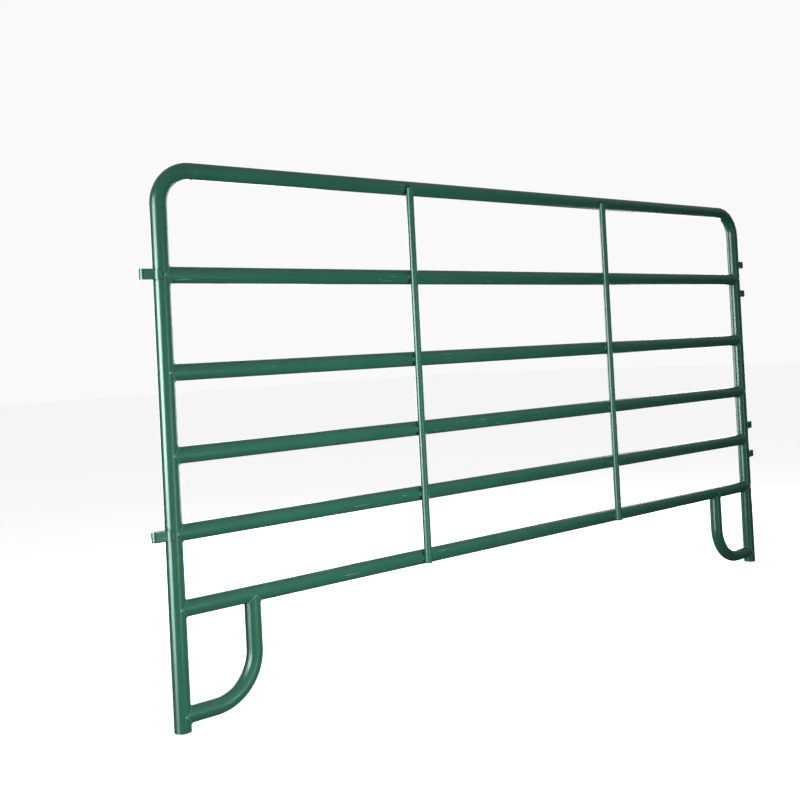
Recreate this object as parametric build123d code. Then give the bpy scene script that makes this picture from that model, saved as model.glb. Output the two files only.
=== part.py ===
# Tubular steel stockyard panel with bent uprights, coped rails, J-shaped feet and pin loops.
# Millimetres. +X runs along the panel from the left upright, -Y is the side with the stays, +Z is up.
# The origin is the middle of the left upright's closed lower end, on the ground.
from build123d import *
import math
import os

# Overall size
panel_height = 1600.0
panel_length = 2900.0

# Main tube of the uprights, rails and feet
tube_diameter = 48.3
tube_wall = 1.8

# Bent top corners
corner_radius = 102.0
corner_tangent = 8.0

# Heights of the rails' middle lines above the ground, under the top rail
rail_heights = {
    "second_rail": 1276.0,
    "third_rail": 1001.0,
    "fourth_rail": 768.0,
    "fifth_rail": 551.0,
    "bottom_rail": 339.0,
}

# Thin stays in front of the rails, placed as shares of the length between the uprights
stay_diameter = 25.4
stay_wall = 1.5
stay_shares = {"left_stay": 0.3163, "right_stay": 0.6653}
stay_seat = 0.5
stay_top_drop = 5.0
stay_bottom_drop = 16.0

# J-shaped feet, bent from the main tube
foot_height = 43.0
foot_reach = 243.0
foot_radius = 137.0

# Pin loops of flat strap, each a narrow U with two feet that hug the outside of an upright
loop_height = 30.0
loop_thickness = 5.0
loop_reach = 67.0
loop_half_width = 12.5
loop_seat = 0.5
loop_foot_angle = 56.0
loop_bend_radius = 4.0
loop_edge_break = 0.8
upper_loop_level = 1278.0
lower_loop_level = 549.0
loop_pair_spacing = 130.0

# Steel discs that close the uprights' lower ends
cap_thickness = 3.0

# Difference below which two measures count as the same
near_zero = 0.01

tube_radius = tube_diameter / 2
tube_bore_radius = tube_radius - tube_wall
stay_radius = stay_diameter / 2
axis_spacing = panel_length - tube_diameter
top_axis_height = panel_height - tube_radius
seam_distance = corner_radius + corner_tangent
stay_offset = tube_radius + stay_radius - stay_seat

# For each end of the panel, where its upright stands and which way is inwards along X
ends = {"left": (0.0, 1), "right": (axis_spacing, -1)}


def rod_between(start, end, radius):
    # Round bar between two points
    line = Line(start, end)
    return sweep(Plane(start, z_dir=line % 0) * Circle(radius), path=line)


def bent_tube(path, outer_radius, bore_radius):
    # Tube along a path, with its section square to the path's start
    section = Plane(path @ 0, z_dir=path % 0)
    bar = sweep(section * Circle(outer_radius), path=path)
    bore = sweep(section * Circle(bore_radius), path=path)
    return bar - bore


def upright_bar(end_name):
    # Solid bar in the place of an upright's straight length, for the saddle cuts
    x = ends[end_name][0]
    return rod_between((x, 0, 0), (x, 0, panel_height), tube_radius)


def rail_bar(height):
    # Solid bar in the place of a rail, for the saddle cuts
    return rod_between((0, 0, height), (axis_spacing, 0, height), tube_radius)


def make_upright(end_name):
    # Post that turns through a large bend into the first stretch of the top rail
    x, inwards = ends[end_name]
    corner = (x, 0, top_axis_height)
    seam = (x + inwards * seam_distance, 0, top_axis_height)
    path = FilletPolyline((x, 0, 0), corner, seam, radius=corner_radius)
    return bent_tube(path, tube_radius, tube_bore_radius)


def make_top_rail():
    # Straight tube butt-welded between the two bends
    path = Line((seam_distance, 0, top_axis_height), (axis_spacing - seam_distance, 0, top_axis_height))
    return bent_tube(path, tube_radius, tube_bore_radius)


def make_rail(height):
    # Straight tube with both ends saddle-cut to the uprights
    path = Line((0, 0, height), (axis_spacing, 0, height))
    return bent_tube(path, tube_radius, tube_bore_radius) - upright_bar("left") - upright_bar("right")


def make_stay(share):
    # Thin tube up the front, seated lightly in every rail that it crosses
    x = share * axis_spacing
    bottom = (x, -stay_offset, rail_heights["bottom_rail"] - stay_bottom_drop)
    top = (x, -stay_offset, top_axis_height - stay_top_drop)
    stay = bent_tube(Line(bottom, top), stay_radius, stay_radius - stay_wall)
    for height in (*rail_heights.values(), top_axis_height):
        stay -= rail_bar(height)
    return stay


def make_foot(end_name):
    # J-shaped tube from the upright, round a large bend and up to the underside of the bottom rail
    x, inwards = ends[end_name]
    corner = (x + inwards * foot_reach, 0, foot_height)
    rise = (x + inwards * foot_reach, 0, rail_heights["bottom_rail"])
    path = FilletPolyline((x, 0, foot_height), corner, rise, radius=foot_radius)
    foot = bent_tube(path, tube_radius, tube_bore_radius)
    return foot - upright_bar(end_name) - rail_bar(rail_heights["bottom_rail"])


def make_cap(end_name):
    # Disc flush with the upright's lower end
    x = ends[end_name][0]
    return rod_between((x, 0, 0), (x, 0, cap_thickness), tube_bore_radius)


def foot_sector(outwards, radius):
    # Round sector about the tube's middle that opens outwards, as wide as a loop's two feet
    far = 2 * outwards * radius
    half = abs(far) * math.tan(math.radians(loop_foot_angle))
    return Circle(radius) & Polygon((0, 0), (far, half), (far, -half), align=None)


def stadium(nose, half_width):
    # Outline from the tube's middle to a round nose
    return Pos(nose, 0) * Circle(half_width) + Pos(nose / 2, 0) * Rectangle(abs(nose), 2 * half_width)


def loop_outline(outwards):
    # The bent strap seen from above, about the tube's middle
    hug_radius = tube_radius - loop_seat
    foot_radius_outside = hug_radius + loop_thickness
    nose = outwards * (loop_reach - loop_half_width)
    outline = stadium(nose, loop_half_width) + foot_sector(outwards, foot_radius_outside)
    outline -= stadium(nose, loop_half_width - loop_thickness) + Circle(hug_radius)
    bends = [
        corner for corner in outline.vertices()
        if abs(corner.X) < foot_radius_outside and abs(abs(corner.Y) - loop_half_width) < near_zero
    ]
    return fillet(bends, loop_bend_radius)


def make_loop(end_name, level):
    # Strap bent to a narrow U, with its feet seated on the outside of the upright
    x, inwards = ends[end_name]
    strap = extrude(Pos(x, 0, level - loop_height / 2) * loop_outline(-inwards), loop_height)
    rims = strap.edges().group_by(Axis.Z)[0] + strap.edges().group_by(Axis.Z)[-1]
    strap = chamfer(rims, loop_edge_break)
    return strap - upright_bar(end_name)


def loop_levels():
    # One loop for each group on the left, and a spaced pair for each group on the right
    half = loop_pair_spacing / 2
    return {
        "left_upper_loop": ("left", upper_loop_level),
        "left_lower_loop": ("left", lower_loop_level),
        "right_upper_loop_high": ("right", upper_loop_level + half),
        "right_upper_loop_low": ("right", upper_loop_level - half),
        "right_lower_loop_high": ("right", lower_loop_level + half),
        "right_lower_loop_low": ("right", lower_loop_level - half),
    }


def make_panel():
    # Every piece of the panel by its name
    pieces = {"top_rail": make_top_rail()}
    for end_name in ends:
        pieces[end_name + "_upright"] = make_upright(end_name)
        pieces[end_name + "_foot"] = make_foot(end_name)
        pieces[end_name + "_base_cap"] = make_cap(end_name)
    for name, height in rail_heights.items():
        pieces[name] = make_rail(height)
    for name, share in stay_shares.items():
        pieces[name] = make_stay(share)
    for name, (end_name, level) in loop_levels().items():
        pieces[name] = make_loop(end_name, level)
    return pieces


os.makedirs("parts", exist_ok=True)
for name, piece in make_panel().items():
    export_step(piece, os.path.join("parts", name + ".step"))
    print(name, "volume", round(piece.volume / 1000, 1), "cm3")
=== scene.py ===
import math
import random

import bmesh
import bpy
from mathutils import Matrix, Vector


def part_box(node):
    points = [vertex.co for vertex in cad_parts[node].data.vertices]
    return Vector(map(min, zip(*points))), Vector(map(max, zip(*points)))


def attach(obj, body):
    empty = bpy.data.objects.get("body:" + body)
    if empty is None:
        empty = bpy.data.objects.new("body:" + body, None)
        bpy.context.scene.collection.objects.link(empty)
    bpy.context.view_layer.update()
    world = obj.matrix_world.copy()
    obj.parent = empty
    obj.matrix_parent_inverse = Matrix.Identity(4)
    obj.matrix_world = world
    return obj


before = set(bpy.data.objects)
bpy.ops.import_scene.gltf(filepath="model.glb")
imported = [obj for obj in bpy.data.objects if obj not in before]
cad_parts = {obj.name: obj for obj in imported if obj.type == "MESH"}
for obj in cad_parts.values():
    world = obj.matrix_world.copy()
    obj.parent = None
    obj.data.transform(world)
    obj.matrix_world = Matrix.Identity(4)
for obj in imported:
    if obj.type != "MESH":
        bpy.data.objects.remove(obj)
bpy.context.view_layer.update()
millimetre = 0.001
print("stage: packed panel loaded,", len(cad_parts), "nodes")


# What the frame says about the tubes
def middleOf(node):
    low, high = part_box(node)
    return (low + high) / 2


railNames = ["second_rail", "third_rail", "fourth_rail", "fifth_rail", "bottom_rail"]
stayNames = ["left_stay", "right_stay"]
loopNames = sorted(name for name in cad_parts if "loop" in name)
railLow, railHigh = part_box("second_rail")
tubeRadius = (railHigh.z - railLow.z) / 2
stayLow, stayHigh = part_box("left_stay")
stayRadius = (stayHigh.x - stayLow.x) / 2
topRailHeight = middleOf("top_rail").z
# For each end, where its upright stands and which way is inwards
ends = {"left": (middleOf("left_base_cap").x, 1), "right": (middleOf("right_base_cap").x, -1)}
up, along = Vector((0, 0, 1)), Vector((1, 0, 0))


# Shader helpers
def linear(hexColour):
    def channel(text):
        share = int(text, 16) / 255
        return share / 12.92 if share <= 0.04045 else ((share + 0.055) / 1.055) ** 2.4
    return (channel(hexColour[1:3]), channel(hexColour[3:5]), channel(hexColour[5:7]), 1.0)


def addNode(tree, kind, inputs=None, **settings):
    node = tree.nodes.new(kind)
    for name, value in settings.items():
        setattr(node, name, value)
    for name, value in (inputs or {}).items():
        if isinstance(value, bpy.types.NodeSocket):
            tree.links.new(value, node.inputs[name])
        else:
            node.inputs[name].default_value = value
    return node


def perMetre(sizeMm):
    return 1 / (sizeMm * millimetre)


# Gloss green polyester powder coat, sprayed dry on welded steel tube and baked.
# It gives the eye one deep bottle green with a wet gloss, a faint orange peel in the highlights,
# softly clouded depth where the film is thicker, and a grey bloom in patches on what faces up,
# which is partly yard dust and partly a painted sheen: the paler tops stand in for light from above.
# Over the weld beads the same powder runs thin on the ripples and is painted a little paler,
# which also stands in as a painted highlight for the glints that the beads catch.
tubeFinish = {"thinFilm": "#2f6a54", "thickFilm": "#255c48", "roughness": 0.24, "dustAndSheenShare": 0.18}
weldFinishWithPaintedHighlight = {"thinFilm": "#3f806a", "thickFilm": "#31705a", "roughness": 0.24, "dustAndSheenShare": 0.1}
coat = {
    "cloudMm": 170,
    "peelMm": 2.6,                 # real orange peel is about 1.5 mm, drawn coarser so that it shows
    "peelHeightMm": 0.02,
    "waveMm": 55,
    "waveHeightMm": 0.12,
    # the grey of yard dust, which also serves as a painted sheen of light on faces that look up
    "dustAndSheen": "#6f8378",
    "dustAndSheenRoughness": 0.5,
    "dustAndSheenFacing": (0.2, 1.0),      # how far up a surface faces where the dust and painted sheen start and where they are full
    "dustAndSheenPatchMm": 90,
    "dustAndSheenPatchCut": (0.3, 0.7),
    "dustAndSheenOutside": 0.35,           # strength outside the patches, before the finish's share of dust and painted sheen is taken
    "dustAndSheenInside": 2,               # strength inside them, for each unit of that share
    "scuff": "#86a394",
    "scuffPatchMm": 140,
    "scuffPatchCut": (0.52, 0.62),
    "scuffNoiseMm": 5.6,           # gives rub marks that are about 1.4 mm wide
    "scuffLineCut": (0.66, 0.72),
    "scuffStretch": 14,            # how much longer than wide a rub mark is
    "scuffShare": 0.55,
}


def powderCoat(name, finish):
    material = bpy.data.materials.new(name)
    material.use_nodes = True
    tree = material.node_tree
    tree.nodes.clear()
    place = addNode(tree, "ShaderNodeTexCoord").outputs["Object"]

    # clouds of film thickness
    cloud = addNode(tree, "ShaderNodeTexNoise", {"Vector": place, "Scale": perMetre(coat["cloudMm"]),
                                                 "Detail": 4.0})
    colour = addNode(tree, "ShaderNodeMix", {"Factor": cloud.outputs["Fac"], "A": linear(finish["thinFilm"]),
                                             "B": linear(finish["thickFilm"])}, data_type="RGBA")

    # yard dust, and a painted sheen that lightens the tops, lie where the surface faces up, in patches
    geometry = addNode(tree, "ShaderNodeNewGeometry")
    facing = addNode(tree, "ShaderNodeSeparateXYZ", {"Vector": geometry.outputs["Normal"]})
    upward = addNode(tree, "ShaderNodeMapRange", {"Value": facing.outputs["Z"],
                                                  "From Min": coat["dustAndSheenFacing"][0],
                                                  "From Max": coat["dustAndSheenFacing"][1]},
                     interpolation_type="SMOOTHSTEP")
    patch = addNode(tree, "ShaderNodeTexNoise", {"Vector": place, "Scale": perMetre(coat["dustAndSheenPatchMm"]),
                                                 "Detail": 6.0, "Roughness": 0.6})
    patchShare = addNode(tree, "ShaderNodeMapRange", {"Value": patch.outputs["Fac"],
                                                      "From Min": coat["dustAndSheenPatchCut"][0],
                                                      "From Max": coat["dustAndSheenPatchCut"][1],
                                                      "To Min": coat["dustAndSheenOutside"],
                                                      "To Max": coat["dustAndSheenInside"] * finish["dustAndSheenShare"]})
    dustAndSheen = addNode(tree, "ShaderNodeMath", {0: upward.outputs["Result"], 1: patchShare.outputs["Result"]},
                   operation="MULTIPLY")
    dustAndSheenAmount = addNode(tree, "ShaderNodeMath", {0: dustAndSheen.outputs["Value"], 1: finish["dustAndSheenShare"]},
                         operation="MULTIPLY")
    dustedAndSheened = addNode(tree, "ShaderNodeMix", {"Factor": dustAndSheenAmount.outputs["Value"],
                                             "A": colour.outputs["Result"],
                                             "B": linear(coat["dustAndSheen"])}, data_type="RGBA")
    gloss = addNode(tree, "ShaderNodeMapRange", {"Value": dustAndSheenAmount.outputs["Value"],
                                                 "To Min": finish["roughness"],
                                                 "To Max": coat["dustAndSheenRoughness"]})

    # a few pale rub marks along the panel, in patches, as sliding and loading leave them
    squeezed = addNode(tree, "ShaderNodeMapping", {"Vector": place,
                                                   "Scale": (1 / coat["scuffStretch"], 1.0, 1.0)})
    lines = addNode(tree, "ShaderNodeTexNoise", {"Vector": squeezed.outputs["Vector"],
                                                 "Scale": perMetre(coat["scuffNoiseMm"]), "Detail": 2.0})
    thinLines = addNode(tree, "ShaderNodeMapRange", {"Value": lines.outputs["Fac"],
                                                     "From Min": coat["scuffLineCut"][0],
                                                     "From Max": coat["scuffLineCut"][1]})
    scuffPatch = addNode(tree, "ShaderNodeTexNoise", {"Vector": place,
                                                      "Scale": perMetre(coat["scuffPatchMm"]),
                                                      "Detail": 2.0})
    somewhere = addNode(tree, "ShaderNodeMapRange", {"Value": scuffPatch.outputs["Fac"],
                                                     "From Min": coat["scuffPatchCut"][0],
                                                     "From Max": coat["scuffPatchCut"][1],
                                                     "To Max": coat["scuffShare"]})
    scuffed = addNode(tree, "ShaderNodeMath", {0: thinLines.outputs["Result"],
                                               1: somewhere.outputs["Result"]}, operation="MULTIPLY")
    worn = addNode(tree, "ShaderNodeMix", {"Factor": scuffed.outputs["Value"], "A": dustedAndSheened.outputs["Result"],
                                           "B": linear(coat["scuff"])}, data_type="RGBA")

    # orange peel over slow waves of the rolled tube
    peel = addNode(tree, "ShaderNodeTexNoise", {"Vector": place, "Scale": perMetre(coat["peelMm"]),
                                                "Detail": 1.0})
    peelBump = addNode(tree, "ShaderNodeBump", {"Height": peel.outputs["Fac"], "Strength": 1.0,
                                                "Distance": coat["peelHeightMm"] * millimetre})
    wave = addNode(tree, "ShaderNodeTexNoise", {"Vector": place, "Scale": perMetre(coat["waveMm"]),
                                                "Detail": 0.0})
    bump = addNode(tree, "ShaderNodeBump", {"Height": wave.outputs["Fac"], "Strength": 1.0,
                                            "Distance": coat["waveHeightMm"] * millimetre,
                                            "Normal": peelBump.outputs["Normal"]})
    shader = addNode(tree, "ShaderNodeBsdfPrincipled", {"Base Color": worn.outputs["Result"], "Metallic": 0.0,
                                                        "IOR": 1.5, "Roughness": gloss.outputs["Result"],
                                                        "Normal": bump.outputs["Normal"]})
    addNode(tree, "ShaderNodeOutputMaterial", {"Surface": shader.outputs["BSDF"]})
    return material


tubeCoat = powderCoat("gloss_green_powder_coat", tubeFinish)
weldCoatWithPaintedHighlight = powderCoat("powder_coat_over_weld_painted_paler", weldFinishWithPaintedHighlight)
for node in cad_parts.values():
    for materialSlot in node.material_slots:
        materialSlot.material = tubeCoat
print("stage: powder coat on every tube, foot, stay and loop")


# Weld beads
bead = {
    "seed": 20,
    "radiusMm": 2.9,
    "rippleMm": 3.2,
    "rippleHeight": 0.13,      # share of the bead's radius
    "rippleMiddle": 0.6,       # the ripple's own height at which the bead has its plain radius
    "wander": 0.12,            # slow change of width, as a share of the radius
    "wanderWaves": [2, 3, 4],  # how many slow waves a bead may have
    "endWidth": 0.45,          # share of the radius at an open end
    "endTaper": 3,             # how fast an open end grows to full width
    "tipRound": 0.13,          # how far the bead cuts the corner at the front and back tips, in tube radii
    "tipLean": 2,              # how strongly the bead faces sideways towards the tips
    "crotchLiftMm": 0.5,
    "tipSinkMm": 0.6,
    "tipFade": 8,              # how close to the tips the bead starts to sink
    "lumpMm": 5.5,             # half length of the lump where a run starts and stops
    "lumpSwell": 0.85,
    "pointsPerRipple": 5,
    "leastPoints": 6,
    "saddlePoints": 360,
    "sides": 2,                # bevel resolution of the bead's round section
    "mergeMm": 0.01,
}
draw = random.Random(bead["seed"])


def saddlePath(centre, post, branch):
    # The line where a tube along branch meets an equal tube along post, moved a little outwards
    side = post.cross(branch)
    path = []
    for step in range(bead["saddlePoints"]):
        turn = 2 * math.pi * step / bead["saddlePoints"]
        rise, spread = math.cos(turn), math.sin(turn)
        reach = math.hypot(rise, bead["tipRound"])
        point = centre + tubeRadius * (side * spread + post * rise + branch * reach)
        outward = (side * spread * bead["tipLean"] + post * rise + branch * abs(rise)).normalized()
        lift = bead["crotchLiftMm"] - (bead["crotchLiftMm"] + bead["tipSinkMm"]) * spread ** bead["tipFade"]
        path.append(point + outward * lift * millimetre)
    return path


def saddle(centre, post, branch):
    # A whole saddle bead, with lumps at its front and back tips
    side = post.cross(branch)
    tips = [centre + tubeRadius * (side * way + branch * bead["tipRound"]) for way in (-1, 1)]
    return saddlePath(centre, post, branch), True, 1.0, tips


def evenSpaced(path, gap, closed):
    # The same line with its points a set distance apart
    loopPath = path + path[:1] if closed else path
    lengths = [(b - a).length for a, b in zip(loopPath, loopPath[1:])]
    count = max(bead["leastPoints"], round(sum(lengths) / gap))
    wanted = [sum(lengths) * step / count for step in range(count if closed else count + 1)]
    spaced, start, leg = [], 0.0, 0
    for distance in wanted:
        while leg < len(lengths) - 1 and start + lengths[leg] < distance:
            start += lengths[leg]
            leg += 1
        spaced.append(loopPath[leg].lerp(loopPath[leg + 1], (distance - start) / lengths[leg]))
    return spaced


def addBead(curve, path, closed, size, lumps):
    # One bead: ripples a few millimetres apart on a width that wanders a little, tapered where it ends,
    # and swollen at the lumps where one run stops and the next starts
    spaced = evenSpaced(path, bead["rippleMm"] / bead["pointsPerRipple"] * millimetre, closed)
    last = len(spaced) - 1
    spline = curve.splines.new("POLY")
    spline.points.add(last)
    spline.use_cyclic_u = closed
    ripples = max(1, round(len(spaced) / bead["pointsPerRipple"]))
    start, waves = draw.random(), draw.choice(bead["wanderWaves"])
    for index, (place, point) in enumerate(zip(spaced, spline.points)):
        share = index / len(spaced)
        ripple = abs(math.sin(math.pi * ripples * share)) - bead["rippleMiddle"]
        slow = math.sin(2 * math.pi * (waves * share + start))
        fromEnd = min(index, last - index) / len(spaced)
        taper = 1.0 if closed else min(1.0, bead["endWidth"] + bead["endTaper"] * fromEnd)
        swell = sum(math.exp(-((place - lump).length / (bead["lumpMm"] * millimetre)) ** 2) for lump in lumps)
        point.co = (*place, 1.0)
        point.radius = size * taper * (1 + bead["rippleHeight"] * ripple + bead["wander"] * slow
                                       + bead["lumpSwell"] * swell)


def makeBeads(name, runs):
    # One piece from several runs, each a path, whether it is closed, its size and its lumps
    curve = bpy.data.curves.new(name, "CURVE")
    curve.dimensions = "3D"
    curve.bevel_depth = bead["radiusMm"] * millimetre
    curve.bevel_resolution = bead["sides"]
    curve.use_fill_caps = True
    for path, closed, size, lumps in runs:
        addBead(curve, path, closed, size, lumps)
    line = bpy.data.objects.new(name + "_line", curve)
    mesh = bpy.data.meshes.new_from_object(line)
    bpy.data.objects.remove(line)
    shape = bmesh.new()
    shape.from_mesh(mesh)
    bmesh.ops.remove_doubles(shape, verts=shape.verts, dist=bead["mergeMm"] * millimetre)
    for vertex in shape.verts:
        vertex.co.y = min(vertex.co.y, tubeRadius)   # dressed flush at the back, so that panels lie flat
    bmesh.ops.recalc_face_normals(shape, faces=shape.faces)
    for face in shape.faces:
        face.smooth = True
    shape.to_mesh(mesh)
    shape.free()
    mesh.materials.clear()
    mesh.materials.append(weldCoatWithPaintedHighlight)
    piece = bpy.data.objects.new(name, mesh)
    bpy.context.scene.collection.objects.link(piece)
    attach(piece, "root")


for name in railNames:
    height = middleOf(name).z
    makeBeads(name + "_weld_beads", [saddle(Vector((x, 0, height)), up, along * inwards)
                                     for x, inwards in ends.values()])

for endName, (x, inwards) in ends.items():
    low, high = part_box(endName + "_foot")
    footHeight = low.z + tubeRadius
    risingX = (high.x if inwards > 0 else low.x) - inwards * tubeRadius
    makeBeads(endName + "_foot_weld_beads",
              [saddle(Vector((x, 0, footHeight)), up, along * inwards),
               saddle(Vector((risingX, 0, middleOf("bottom_rail").z)), along, -up)])

# Short runs on both sides of a stay where it crosses a rail
stayWeld = {
    "halfLengthMm": 9,
    "besideShare": 0.73,   # how far from the stay's middle line, in stay radii
    "proudMm": 1.3,
    "topInsetMm": 2,       # how far a run stops below the stay's top
    "leastStepMm": 0.1,
    "size": 0.95,
    "steps": 24,
}
for name in stayNames:
    stayX = middleOf(name).x
    low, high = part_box(name)
    runs = []
    for height in [middleOf(rail).z for rail in railNames] + [topRailHeight]:
        for sideways in (-1, 1):
            path = []
            for step in range(stayWeld["steps"] + 1):
                drop = (2 * step / stayWeld["steps"] - 1) * stayWeld["halfLengthMm"] * millimetre
                z = min(height + drop, high.z - stayWeld["topInsetMm"] * millimetre)
                front = math.sqrt(tubeRadius ** 2 - (z - height) ** 2) + stayWeld["proudMm"] * millimetre
                if path and (z - path[-1].z) < stayWeld["leastStepMm"] * millimetre:
                    continue
                path.append(Vector((stayX + sideways * stayWeld["besideShare"] * stayRadius, -front, z)))
            runs.append((path, False, stayWeld["size"], []))
    makeBeads(name + "_weld_beads", runs)

# Runs down the ends of the loops' feet, which hug the upright up to this angle from outwards
loopWeld = {"footAngle": 56, "pastMm": 1.8, "proudMm": 0.8, "insetMm": 2.5, "size": 0.95}
for name in loopNames:
    low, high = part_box(name)
    x, inwards = ends[name.split("_")[0]]
    out = tubeRadius + loopWeld["proudMm"] * millimetre
    angle = math.radians(loopWeld["footAngle"]) + loopWeld["pastMm"] * millimetre / tubeRadius
    inset = loopWeld["insetMm"] * millimetre
    runs = []
    for face in (-1, 1):
        foot = Vector((x - inwards * out * math.cos(angle), face * out * math.sin(angle), 0))
        path = [foot + up * (low.z + inset), foot + up * (high.z - inset)]
        runs.append((path, False, loopWeld["size"], []))
    makeBeads(name + "_weld_beads", runs)

# Butt welds round the top tube where the bent corners join it, dressed flush on top
seam = {"crownMm": 1.4, "sunkShare": 1.25, "count": 160, "size": 0.95}
topLow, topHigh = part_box("top_rail")
seamRuns = []
for x in (topLow.x, topHigh.x):
    path = []
    for step in range(seam["count"]):
        turn = 2 * math.pi * step / seam["count"]
        crown = seam["crownMm"] * (1 - math.sin(turn)) / 2
        out = tubeRadius + (crown - bead["radiusMm"] * seam["size"] * seam["sunkShare"]) * millimetre
        path.append(Vector((x, math.cos(turn) * out, topRailHeight + math.sin(turn) * out)))
    seamRuns.append((path, True, seam["size"], []))
makeBeads("top_rail_butt_welds", seamRuns)
print("stage: weld beads on the joints")


# Floor, light and camera
studio = {
    "floorColour": "#f2f2f0",
    "floorRoughness": 0.9,
    "floorGlow": 0.72,         # lifts the floor close to the white of the backdrop: a faint horizon is left
    "floorSize": 60.0,
    "backdrop": 0.95,
    "skyLight": 0.33,
    "groundLight": 0.05,
    "skyRange": (-0.05, 0.5),  # how far up the sky's light starts to grow and where it is full
}
white, mint = "#ffffff", "#e6fff6"
lights = {
    # a tall sheet of light on the left that only reflections see, weaker towards its top and foot
    "leftTopGlint": {"place": (-3.3, 0.0, 2.3), "aim": (0.0, 0.0, 2.3), "width": 2.4, "height": 1.2,
                     "watts": 92, "colour": mint, "shades": False, "mirrored": True},
    "leftGlint": {"place": (-3.3, 0.0, 0.95), "aim": (0.0, 0.0, 0.95), "width": 2.4, "height": 1.5,
                  "watts": 262, "colour": mint, "shades": False, "mirrored": True},
    "leftLowGlint": {"place": (-3.3, 0.0, -0.25), "aim": (0.0, 0.0, -0.25), "width": 2.4, "height": 0.9,
                     "watts": 85, "colour": mint, "shades": False, "mirrored": True},
    "leftFootGlint": {"place": (-3.3, 0.0, -1.3), "aim": (0.0, 0.0, -1.3), "width": 2.4, "height": 1.2,
                      "watts": 25, "colour": mint, "shades": False, "mirrored": True},
    # light from the same side for shading alone
    "leftSoftbox": {"place": (-3.3, 0.0, 1.0), "aim": (0.0, 0.0, 0.85), "width": 2.4, "height": 3.4,
                    "watts": 100, "colour": white, "shades": True, "mirrored": False},
    # a narrow second streak, and the soft light on the front
    "rightGlint": {"place": (1.9, -6.0, 0.3), "aim": (0.0, 0.0, 0.3), "width": 0.9, "height": 3.4,
                   "watts": 40, "colour": mint, "shades": False, "mirrored": True},
    "nearSoftbox": {"place": (0.5, -1.7, 0.45), "aim": (0.5, 0.0, 0.5), "width": 1.2, "height": 1.2,
                    "watts": 33, "colour": white, "shades": True, "mirrored": False},
    # the back and the right end, which the photo camera doesn't see
    "backSoftbox": {"place": (1.4, 3.0, 1.0), "aim": (1.4, 0.0, 0.8), "width": 2.6, "height": 1.8,
                    "watts": 90, "colour": white, "shades": True, "mirrored": True},
    "endSoftbox": {"place": (5.0, 1.2, 1.0), "aim": (2.9, 0.0, 0.8), "width": 1.4, "height": 2.4,
                   "watts": 55, "colour": white, "shades": True, "mirrored": True},
}


def areaLight(name, values):
    light = bpy.data.lights.new(name, "AREA")
    light.shape = "RECTANGLE"
    light.size, light.size_y = values["width"], values["height"]
    light.energy = values["watts"]
    light.color = linear(values["colour"])[:3]
    lamp = bpy.data.objects.new(name, light)
    lamp.visible_camera = False
    lamp.visible_diffuse = values["shades"]
    lamp.visible_glossy = values["mirrored"]
    place = Vector(values["place"])
    lamp.location = place
    lamp.rotation_euler = (Vector(values["aim"]) - place).to_track_quat("-Z", "Y").to_euler()
    bpy.context.scene.collection.objects.link(lamp)


for name, values in lights.items():
    areaLight(name, values)

world = bpy.data.worlds.new("studio")
bpy.context.scene.world = world
world.use_nodes = True
sky = world.node_tree
sky.nodes.clear()
skyPlace = addNode(sky, "ShaderNodeTexCoord").outputs["Generated"]
skyHeight = addNode(sky, "ShaderNodeSeparateXYZ", {"Vector": skyPlace}).outputs["Z"]
skyShade = addNode(sky, "ShaderNodeMapRange", {"Value": skyHeight, "From Min": studio["skyRange"][0],
                                               "From Max": studio["skyRange"][1],
                                               "To Min": studio["groundLight"], "To Max": studio["skyLight"]})
lighting = addNode(sky, "ShaderNodeBackground", {"Color": (1, 1, 1, 1),
                                                 "Strength": skyShade.outputs["Result"]})
backdrop = addNode(sky, "ShaderNodeBackground", {"Color": (1, 1, 1, 1), "Strength": studio["backdrop"]})
seen = addNode(sky, "ShaderNodeLightPath").outputs["Is Camera Ray"]
mixed = addNode(sky, "ShaderNodeMixShader", {0: seen, 1: lighting.outputs[0], 2: backdrop.outputs[0]})
addNode(sky, "ShaderNodeOutputWorld", {"Surface": mixed.outputs[0]})

floorShape = bmesh.new()
bmesh.ops.create_grid(floorShape, x_segments=1, y_segments=1, size=studio["floorSize"] / 2)
floorMesh = bpy.data.meshes.new("studio_floor")
floorShape.to_mesh(floorMesh)
floorShape.free()
floor = bpy.data.objects.new("studio_floor", floorMesh)
bpy.context.scene.collection.objects.link(floor)
floorPaint = bpy.data.materials.new("matt_pale_floor_paint")
floorPaint.use_nodes = True
paint = floorPaint.node_tree.nodes["Principled BSDF"].inputs
paint["Base Color"].default_value = linear(studio["floorColour"])
paint["Roughness"].default_value = studio["floorRoughness"]
paint["Emission Color"].default_value = linear(studio["floorColour"])
paint["Emission Strength"].default_value = studio["floorGlow"]
floorMesh.materials.append(floorPaint)
floor.visible_diffuse = False     # the pale floor is looked at, but throws no light up under the rails
floor.visible_glossy = False
floor.visible_shadow = False

view = {
    "place": (-1.363, -2.671, 1.028),
    "turn": -39.75,
    "tilt": 90.8,
    "roll": -2.92,
    "lens": 46.96,
    "sensor": 36.0,
    "shiftY": -0.0788,     # the photo is a crop whose optical middle lies above its centre
}
cameraData = bpy.data.cameras.new("photo_camera")
cameraData.sensor_width = view["sensor"]
cameraData.lens = view["lens"]
cameraData.shift_y = view["shiftY"]
camera = bpy.data.objects.new("photo_camera", cameraData)
camera.matrix_world = (Matrix.Translation(view["place"]) @ Matrix.Rotation(math.radians(view["turn"]), 4, "Z")
                       @ Matrix.Rotation(math.radians(view["tilt"]), 4, "X")
                       @ Matrix.Rotation(math.radians(view["roll"]), 4, "Z"))
bpy.context.scene.collection.objects.link(camera)
bpy.context.scene.camera = camera
bpy.context.scene.view_settings.view_transform = "Standard"
print("stage: floor, light and camera")
